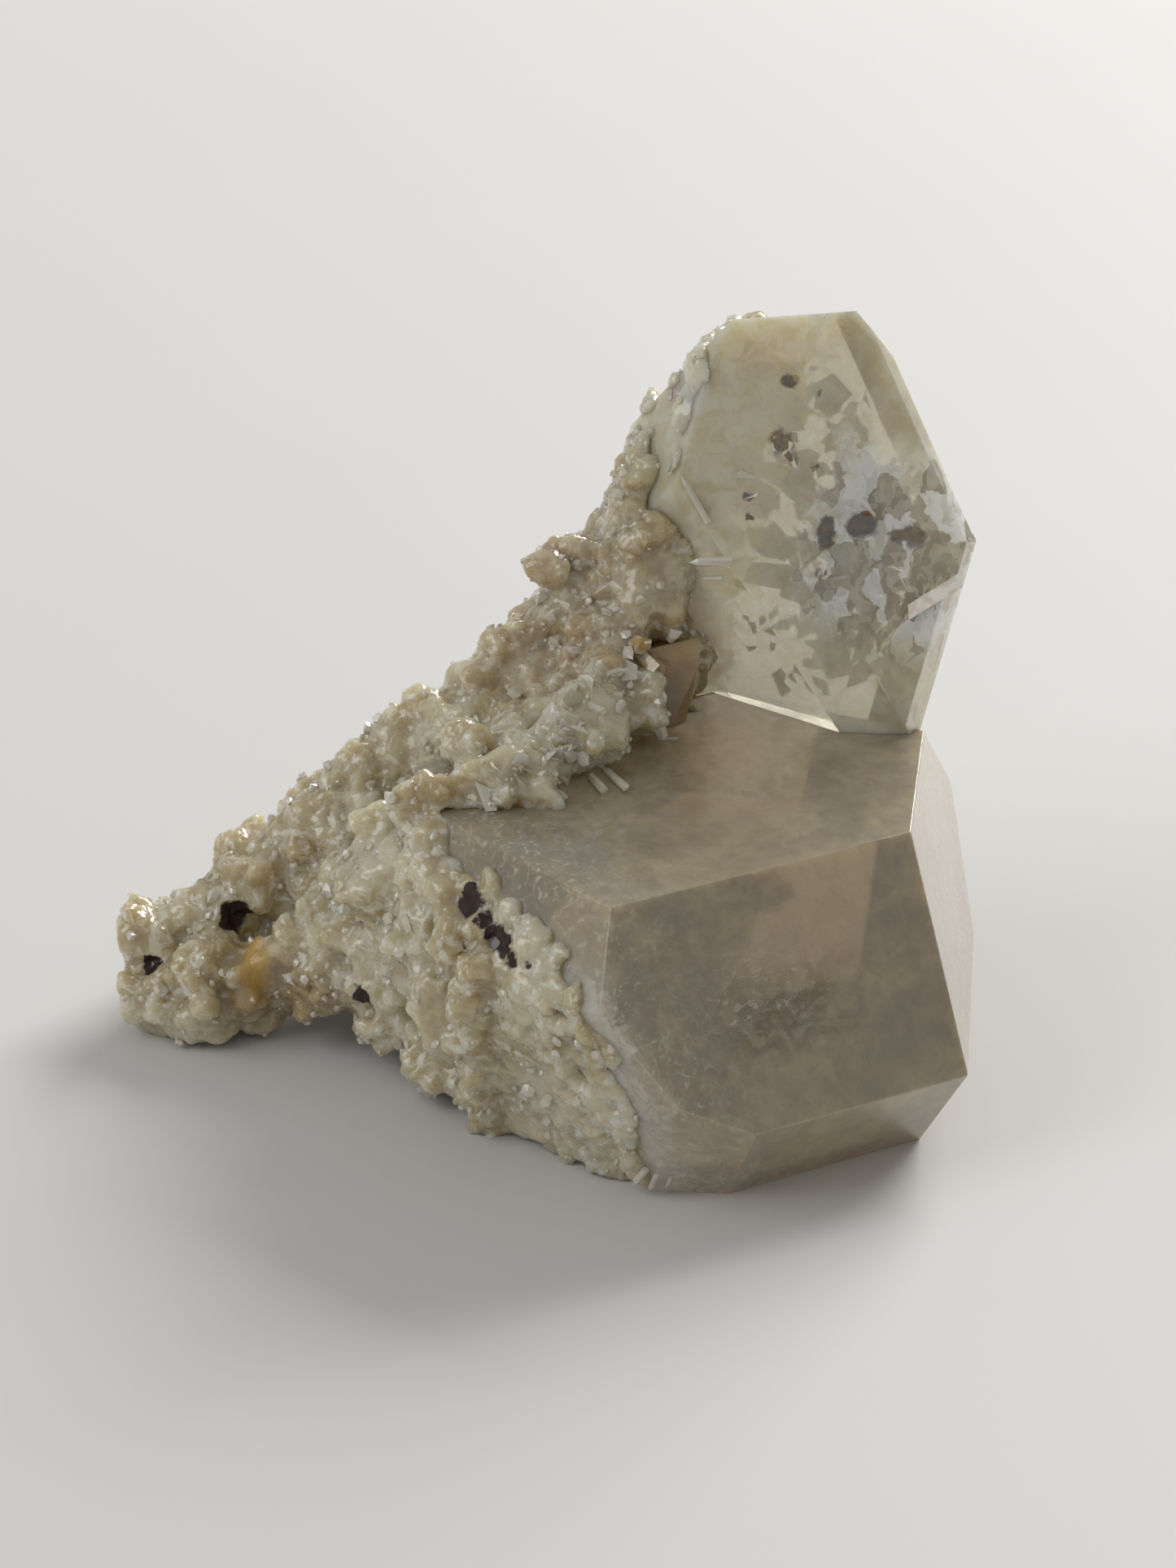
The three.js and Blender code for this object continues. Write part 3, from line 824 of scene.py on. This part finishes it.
# Three numbers from 0 to 1 for each whole-number cell: its coordinates times large primes, mixed bit by bit.
def cellNumbers(cell, salt):
    mixed = cell.astype(np.uint64) * np.array([73856093, 19349663, 83492791], np.uint64)
    key = (mixed[:, 0] ^ mixed[:, 1] ^ mixed[:, 2]) + np.uint64(salt * 7919)
    numbers = []
    for turn in range(3):
        key = (key ^ (key >> np.uint64(15))) * np.uint64(2246822519) & np.uint64(0xFFFFFFFF)
        key = (key ^ (key >> np.uint64(13))) * np.uint64(3266489917) & np.uint64(0xFFFFFFFF)
        numbers.append((key & np.uint64(0xFFFFFF)).astype(float) / 0xFFFFFF)
    return np.stack(numbers, 1)


# Height of tilted blocks packed in space: each cell of the given size holds one block with its own turn, and the
# height at a point is how deep it lies in the block that holds it deepest.
def blocks(points, size, salt):
    home = np.floor(points / size)
    height = np.full(len(points), -1.0)
    for offset in np.ndindex(3, 3, 3):
        cell = home + offset - 1
        where = cellNumbers(cell + 4096, salt)
        turn = cellNumbers(cell + 4096, salt + 1) * math.tau
        x, y, z = ((points / size) - cell - where).T
        c, s = np.cos(turn), np.sin(turn)
        x, y = c[:, 0] * x - s[:, 0] * y, s[:, 0] * x + c[:, 0] * y
        y, z = c[:, 1] * y - s[:, 1] * z, s[:, 1] * y + c[:, 1] * z
        x, z = c[:, 2] * x - s[:, 2] * z, s[:, 2] * x + c[:, 2] * z
        away = np.maximum(np.maximum(np.abs(x), np.abs(y) * 1.25), np.abs(z) * 0.7)
        height = np.maximum(height, 0.75 - away)
    return height * size


# Distance from a limit, bent by tanh below 1.2 mm so that it never gets below 0.
def eased(distance):
    return np.where(distance < 1.2, 1.2 - 1.2 * np.tanh((1.2 - distance) / 1.2), distance)


def shapeSkin(piece, look):
    remesh = piece.modifiers.new("one_skin", "REMESH")
    remesh.mode = "VOXEL"
    remesh.voxel_size = look["coarse"] * mm
    soften = piece.modifiers.new("soften", "SMOOTH")
    soften.factor = 0.5
    soften.iterations = look["soften"]
    refine = piece.modifiers.new("refine", "REMESH")
    refine.mode = "VOXEL"
    refine.voxel_size = look["fine"] * mm
    ease = piece.modifiers.new("ease", "SMOOTH")
    ease.iterations = 3
    applyModifiers(piece)
    mesh = piece.data
    at = np.empty(len(mesh.vertices) * 3)
    mesh.vertices.foreach_get("co", at)
    at = at.reshape(-1, 3) / mm
    out = np.empty(len(mesh.vertices) * 3)
    mesh.vertex_normals.foreach_get("vector", out)
    out = out.reshape(-1, 3)
    lift = sum(high * blocks(at, size, salt) for size, high, salt in look["blocks"]) - look["sink"]
    wave = np.sin(at @ np.array([0.42, 0.31, 0.27])) * np.sin(at @ np.array([-0.29, 0.45, 0.36]) + 1.3)
    at = at + out * (lift * (1 - look["calm"] * np.clip(wave * 2.2, 0, 1)))[:, None]
    at[:, :2] = eased(at[:, :2] - boxLow[:2]) + boxLow[:2]
    at[:, :2] = boxHigh[:2] - eased(boxHigh[:2] - at[:, :2])
    at = np.clip(at, boxLow, boxHigh)
    mesh.vertices.foreach_set("co", (at * mm).ravel())
    mesh.update()
    thin = piece.modifiers.new("thin", "DECIMATE")
    thin.ratio = min(1.0, look["triangles"] / (2 * len(mesh.polygons)))
    applyModifiers(piece)
    piece.data.shade_smooth()
    piece.data.set_sharp_from_angle(angle=math.radians(28))
    print(piece.name, len(piece.data.polygons), "faces")


skinLook = {
    "coarse": 0.42,          # mm, first remesh, then softened
    "soften": 7,
    "fine": 0.2,             # mm, remesh that carries the blocks
    "blocks": [(3.0, 0.46, 3), (1.4, 0.5, 11), (0.7, 0.42, 23)],   # size in mm, share of height, salt
    "sink": 0.7,
    "calm": 0.6,             # how much of the relief is gone in the calm patches
    "triangles": 190000,
}

endTriangles = trianglesOf(lyingCrystal)
uprightTriangles = trianglesOf(uprightCrystal)
for crystal, width in ((lyingCrystal, 0.12), (uprightCrystal, 0.07), (smallCrystal, 0.06)):
    roundEdges(crystal, width)


def onBrokenEdge(at, out):
    local = (at - planShift - upright["foot"]) @ uprightFrame()
    left = (out @ uprightFrame()[:, 0] < -0.4) & (local[:, 1] > 0.9)
    return left & (local[:, 2] > 12) & (local[:, 2] < 28.5)


# Lumps down the edge where the rough end meets the arm: points at heights z where both planes hold, solved for
# x and y.
def seamGrains(rng):
    planes = lyingPlanes()
    spots = []
    for upper, heights in ((10, np.arange(24.0, 18.0, -0.9)), (11, np.arange(18.0, 0.8, -0.9))):
        (n, reach), (m, other) = planes[upper], planes[13]
        sides = np.stack([reach - n[2] * heights, other - m[2] * heights], 1)
        plan = np.linalg.solve(np.array([n[:2], m[:2]]), sides.T).T
        spots.append(np.column_stack([plan, heights]))
    at = np.concatenate(spots)
    at = np.concatenate([at, at + (planes[13][0] + planes[11][0]) * 0.6])
    at += rng.normal(size=at.shape) * 0.35
    axis = planes[11][0] + planes[13][0] + rng.normal(size=at.shape) * 0.4
    radius = 1.1 + 0.9 * rng.random(len(at))
    return grains(at, framesAlong(axis, rng), radius, radius * 0.8, rng)


# Lumps between the ragged plate and the ridge, on the lying crystal's top face.
fill = np.array([(-6.0, -1.4, 25.2), (-2.6, 0.4, 25.2), (0.4, 3.0, 25.2), (-5.4, -5.0, 25.2), (-1.6, -2.6, 25.2),
                 (-3.6, -7.6, 25.2)])
skin = pieceFrom("druse_skin", *joined([
    arraysOf(matrix),
    crust(skinTriangles, 520, (0.9, 2.2), (0.55, 1.1), 0.55, 1.6, rng, onMatrix),
    crust(endTriangles, 1300, (0.7, 1.4), (0.35, 0.8), 0.8, 1.6, rng, onRoughEnd),
    crust(uprightTriangles, 70, (1.0, 2.2), (0.15, 0.35), 0.2, 1.4, rng, onBrokenEdge),
    seamGrains(rng),
    grains(fill + planShift, framesAlong(np.tile([-0.1, -0.3, 1.0], (len(fill), 1)), rng),
           np.array([2.6, 2.4, 2.4, 2.0, 2.4, 1.6]), np.array([4.2, 4.0, 4.2, 2.2, 3.0, 1.6]), rng, low=-0.08),
]))
drop(matrix)
mergeClose(skin, 1e-7)
shapeSkin(skin, skinLook)
skinTriangles = trianglesOf(skin)


def onSkin(at, out):
    room = ((at > boxLow + 0.5) & (at < boxHigh - 0.5)).all(1)
    local = at - planShift
    marked = np.any([np.linalg.norm(local - centre, axis=1) < radius + 0.4 for centre, radius in oxideSpots], 0)
    return room & ~marked & onMatrix(at, out)


glints = pieceFrom("druse_glints", *joined([
    crust(skinTriangles, 1000, (0.14, 0.42), (0.7, 1.6), 0.8, 2.2, rng, onSkin),
    crust(skinTriangles, 260, (0.35, 0.75), (0.5, 1.2), 0.6, 1.8, rng, onSkin),
]))

print("veils")


frontNormal = np.array(upright["front"]) / np.linalg.norm(upright["front"])


# Flakes round a centre: offsets within spread along the front face and depth into it, facing about that way.
# hug says how far inside the front face a flake stays, as a share of its radius.
def flakeCloud(count, middle, spread, size, tumble, rng, thick=0.03, bow=0.2, spokes=5, power=2.0, hug=0.5):
    x, z = (middle[0] + spread[0] * rng.normal(size=count)), (middle[2] + spread[2] * rng.normal(size=count))
    y = middle[1] + spread[1] * rng.random(count)
    at = np.stack([x, y, z], 1) @ uprightFrame().T + upright["foot"] + planShift
    radius = size[0] + (size[1] - size[0]) * rng.random(count) ** power
    planes = uprightPlanes()
    inner = (depthIn(at, planes[:1]) < -0.15 - hug * radius) & (depthIn(at, planes[1:]) < -0.3 - 1.3 * radius)
    inner &= depthIn(at, lyingPlanes()) > 0.5 + radius
    at, radius = at[inner], radius[inner]
    tilt = frontNormal + rng.normal(size=at.shape) * tumble
    return flakes(at, framesAlong(tilt, rng), radius, thick, bow, rng, spokes=spokes)


veils = pieceFrom("fracture_veils", *joined([
    flakeCloud(170, (-7.5, 0.8, 14.5), (4.2, 4.5, 4.6), (0.4, 2.8), 0.45, rng),
    flakeCloud(130, (-8.5, 0.8, 8.5), (4.0, 4.5, 3.4), (0.4, 2.4), 0.6, rng),
    flakeCloud(90, (-15, 0.8, 20), (4.5, 4.5, 5.0), (0.4, 2.4), 0.6, rng),
    flakeCloud(70, (-5.0, 0.8, 20), (2.0, 4.5, 3.6), (0.4, 2.4), 0.4, rng),
]))

darkSpots = [   # x, z in the upright crystal, half sizes, flakes
    (-9.3, 15.2, 1.15, 7), (-11.9, 14.2, 0.75, 6), (-11.6, 12.9, 0.6, 4), (-17.9, 24.9, 0.6, 3),
    (-15.6, 24.4, 0.25, 2), (-14.2, 18.8, 0.25, 2), (-18.0, 13.4, 0.3, 2)]
darkFlakes = pieceFrom("dark_inclusions", *joined([
    flakeCloud(count, (x, 0.4, z), (half * 0.5, 0.3, half * 0.55), (half * 0.7, half * 1.4), 0.2, rng,
               thick=0.06, power=1.0, hug=0.1) for x, z, half, count in darkSpots]))
rustSpots = [   # the same
    (-5.0, 15.6, 0.9, 12), (-6.2, 15.2, 0.6, 6), (-17.3, 20.0, 0.9, 8), (-16.2, 18.9, 0.5, 5),
             (-18.7, 14.9, 0.35, 4), (-11.4, 10.6, 0.4, 3)]
rustFlakes = pieceFrom("rust_inclusions", *joined([
    flakeCloud(count, (x, 0.4, z), (half * 0.6, 0.3, half * 0.45), (half * 0.35, half * 0.9), 0.25, rng,
               thick=0.05, power=1.0, hug=0.1) for x, z, half, count in rustSpots]))


# Flakes in the lying crystal round points of its own, elongated along its axis.
def flawCloud(count, middle, spread, size, rng, tumble=0.5):
    at = np.array(middle, float) + planShift + rng.normal(size=(count, 3)) * spread
    at = at[depthIn(at, lyingPlanes()) < -0.3]
    radius = size[0] + (size[1] - size[0]) * rng.random(len(at)) ** 2
    tilt = np.array([0, -0.3, 1.0]) + rng.normal(size=at.shape) * tumble
    return flakes(at, framesAlong(tilt, rng), radius, 0.02, 0.15, rng, spokes=6)


flaws = pieceFrom("crystal_flaws", *joined([
    flawCloud(34, (16.5, -6.8, 24.2), (1.3, 0.5, 0.25), (0.15, 0.6), rng),
    flawCloud(18, (10.4, 1.6, 24.0), (1.6, 0.9, 0.3), (0.15, 0.7), rng, 0.2),
    flawCloud(50, (4.5, -7.0, 23.6), (2.4, 3.0, 0.8), (0.2, 1.1), rng, 0.5),
    flawCloud(60, (4.0, -17.0, 15.0), (4.0, 3.0, 4.0), (0.2, 1.2), rng, 0.9),
    flawCloud(60, (14.0, -17.5, 10.0), (5.0, 2.6, 3.6), (0.1, 0.6), rng, 0.9),
]))


# Local place in the upright crystal: x across from its right edge, y in from the front face, z along it.
def uprightPlace(x, y, z):
    return tuple(uprightFrame() @ np.array([x, y, z], float) + upright["foot"])


# Slender prisms: bars on the upright crystal's edge, needles on the lying crystal's top.
def rods(ends, thick, rng):
    ends = np.array(ends, float)
    start, stop = ends[:, 0] + planShift, ends[:, 1] + planShift
    length = np.linalg.norm(stop - start, axis=1)
    return grains(start, framesAlong(stop - start, rng), np.array(thick, float), length, rng, rough=0.06,
                  flat=0.5, low=-0.02, tip=(0.97, 0.0))


needles = pieceFrom("needles", *rods([
    ((5.2, -4.0, 25.3), (6.8, -7.4, 25.5)), ((4.0, -5.0, 25.3), (5.0, -7.6, 25.4)),
    ((12.6, 7.2, 38.4), (15.4, 7.0, 38.6)), ((11.6, 8.6, 44.6), (13.4, 8.2, 41.4)),
    ((13.2, 7.4, 36.9), (14.6, 7.0, 37.1)), ((1.0, -3.4, 28.0), (2.6, -4.6, 28.6)),
    ((-3.4, -6.0, 28.2), (-2.2, -7.2, 28.6)), ((9.6, 1.6, 25.3), (11.0, 1.4, 25.4)),
    ((7.4, -27.0, 1.4), (8.2, -27.6, 2.9)), ((8.6, -27.2, 1.0), (9.0, -27.7, 2.5)),
    ((9.8, -27.3, 1.2), (10.1, -27.8, 2.2)),
    (uprightPlace(-5.8, 0.6, 6.9), uprightPlace(-2.6, 0.35, 3.6)),
], (0.34, 0.4, 0.42, 0.5, 0.36, 0.3, 0.3, 0.16, 0.3, 0.26, 0.2, 0.22), rng))

# Short clear crystal with an orange stain above the small smoky one, and specks on the lying crystal's top.
tips = pieceFrom("stained_tip", *rods([
    ((8.0, 4.6, 31.2), (9.4, 2.6, 30.4)), ((7.2, 5.2, 32.4), (8.2, 3.6, 32.6))], (1.35, 0.9), rng))
speckPlaces = np.array([(-3.6, -10.0), (-2.9, -9.9), (-1.6, -9.5), (-0.9, -9.3), (-0.4, -9.0), (0.9, -8.8)])
specks = pieceFrom("orange_specks", *flakes(
    np.column_stack([speckPlaces, np.full(len(speckPlaces), 25.16)]) + planShift,
    framesAlong(np.tile([0.05, 0.0, 1.0], (len(speckPlaces), 1)), rng),
    np.array([0.34, 0.24, 0.3, 0.2, 0.42, 0.18]), 0.05, 0.1, rng, spokes=8))

plateLine = np.array([(-5, -8.3, 25.0), (-1.6, -7.8, 26.4), (2, -4.2, 28), (4.8, 0.4, 29.4), (7, 4.4, 29.8)])
along = rng.random(300) * (len(plateLine) - 1)
step = along.astype(int)
at = plateLine[step] + (plateLine[step + 1] - plateLine[step]) * (along - step)[:, None] + planShift
at += rng.normal(size=at.shape) * (0.9, 0.8, 1.2)
at[:, 2] = np.maximum(at[:, 2], 26.0)
blades = pieceFrom("plate_blades", *flakes(
    at, framesAlong(np.array([-0.35, -0.8, 0.35]) + rng.normal(size=at.shape) * 0.55, rng),
    0.35 + 1.1 * rng.random(len(at)) ** 2, 0.09, 0.15, rng, spokes=6))

# Painted highlight at the top of the second growth: a thin pale slab on its sloped face, where that face shines.
ledgePlanes = carried([
    face((-0.557, -0.666, 0.497), (-3.72, -0.02, 10.32)), face((0.557, 0.666, -0.497), (-3.7, 0, 10.25)),
    face((-0.93, 0, -0.36), (-3.9, 0, 9.9)), face((0.97, 0, 0.24), (-0.15, 0, 12.6)),
    face((0, 1, 0), (0, -0.06, 0)), face((0, -1, 0), (0, upright["proud"] + 0.03, 0)),
], uprightFrame(), np.array(upright["foot"]) + planShift)
ledge = pieceFrom("painted_highlight_ledge", *convexBody(ledgePlanes))

smoky = smokyQuartz()
milky = milkyQuartz([((x, z), half) for x, z, half, count in darkSpots + rustSpots])
druseSkin = druseQuartz()
dress(lyingCrystal, smoky)
dress(uprightCrystal, milky)
dress(skin, druseSkin)
glass = glintQuartz()
dress(glints, glass)
dress(needles, glass)
dress(blades, glass)
dress(ledge, ledgeHighlightQuartz())
dress(tips, stainedQuartz())
dress(specks, stainFlakes("orange_stain", (0.55, 0.26, 0.03), (0.72, 0.45, 0.10)))
dress(smallCrystal, smokyQuartz("small_smoky_quartz", smallLook))
dress(veils, veilQuartz())
dress(flaws, veilQuartz("flaw_quartz", 0.3))
dress(darkFlakes, stainFlakes("dark_oxide", (0.08, 0.035, 0.008), (0.30, 0.17, 0.05)))
dress(rustFlakes, stainFlakes("rust_oxide", (0.42, 0.18, 0.04), (0.62, 0.38, 0.14)))
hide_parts("quartz_cluster")

print("stage")
floorMesh = bpy.data.meshes.new("floor")
floorMesh.from_pydata([(-3, -3, 0), (3, -3, 0), (3, 3, 0), (-3, 3, 0)], [], [(0, 1, 2, 3)])
floor = bpy.data.objects.new("floor", floorMesh)
bpy.context.scene.collection.objects.link(floor)
floorMesh.materials.append(stageCloth())

view = {
    "target": [3.7, 0.0, 22.0],   # mm
    "elevation": 28.0,
    "distance": 360.0,            # mm
    "focalPixels": 5472.0,
    "imageHeight": 1927,
    "sensor": 36.0,
}
target = (np.array(view["target"]) + planShift) * mm
tilt = math.radians(view["elevation"])
camera = bpy.data.objects.new("camera", bpy.data.cameras.new("camera"))
bpy.context.scene.collection.objects.link(camera)
camera.data.sensor_fit = "VERTICAL"
camera.data.sensor_height = view["sensor"]
camera.data.lens = view["sensor"] * view["focalPixels"] / view["imageHeight"]
camera.data.clip_start = 0.01
camera.location = Vector(target) - Vector((0, math.cos(tilt), -math.sin(tilt))) * view["distance"] * mm
camera.rotation_euler = (math.pi / 2 - tilt, 0, 0)
bpy.context.scene.camera = camera


def softbox(name, place, size, power, colour=(1, 1, 1)):
    lamp = bpy.data.lights.new(name, "AREA")
    lamp.shape = "RECTANGLE"
    lamp.size, lamp.size_y = size
    lamp.energy = power
    lamp.color = colour
    box = bpy.data.objects.new(name, lamp)
    bpy.context.scene.collection.objects.link(box)
    box.location = place
    box.rotation_euler = (Vector((0, 0, 0.02)) - Vector(place)).to_track_quat("-Z", "Y").to_euler()


softbox("window", (0.55, 0.75, 0.65), (0.7, 0.5), 11.0, (1.0, 0.99, 0.97))
softbox("fill", (-0.7, -0.2, 0.6), (0.6, 0.6), 2.2, (0.95, 0.97, 1.0))
world = bpy.data.worlds.new("studio")
bpy.context.scene.world = world
world.use_nodes = True
world.node_tree.nodes["Background"].inputs["Color"].default_value = (0.97, 0.97, 0.96, 1)
world.node_tree.nodes["Background"].inputs["Strength"].default_value = 0.35

scene = bpy.context.scene
scene.view_settings.view_transform = "Standard"
scene.cycles.max_bounces = 6
scene.cycles.transmission_bounces = 6
scene.cycles.diffuse_bounces = 2
scene.cycles.glossy_bounces = 2
scene.cycles.transparent_max_bounces = 8
scene.cycles.use_denoising = True
scene.cycles.caustics_reflective = False
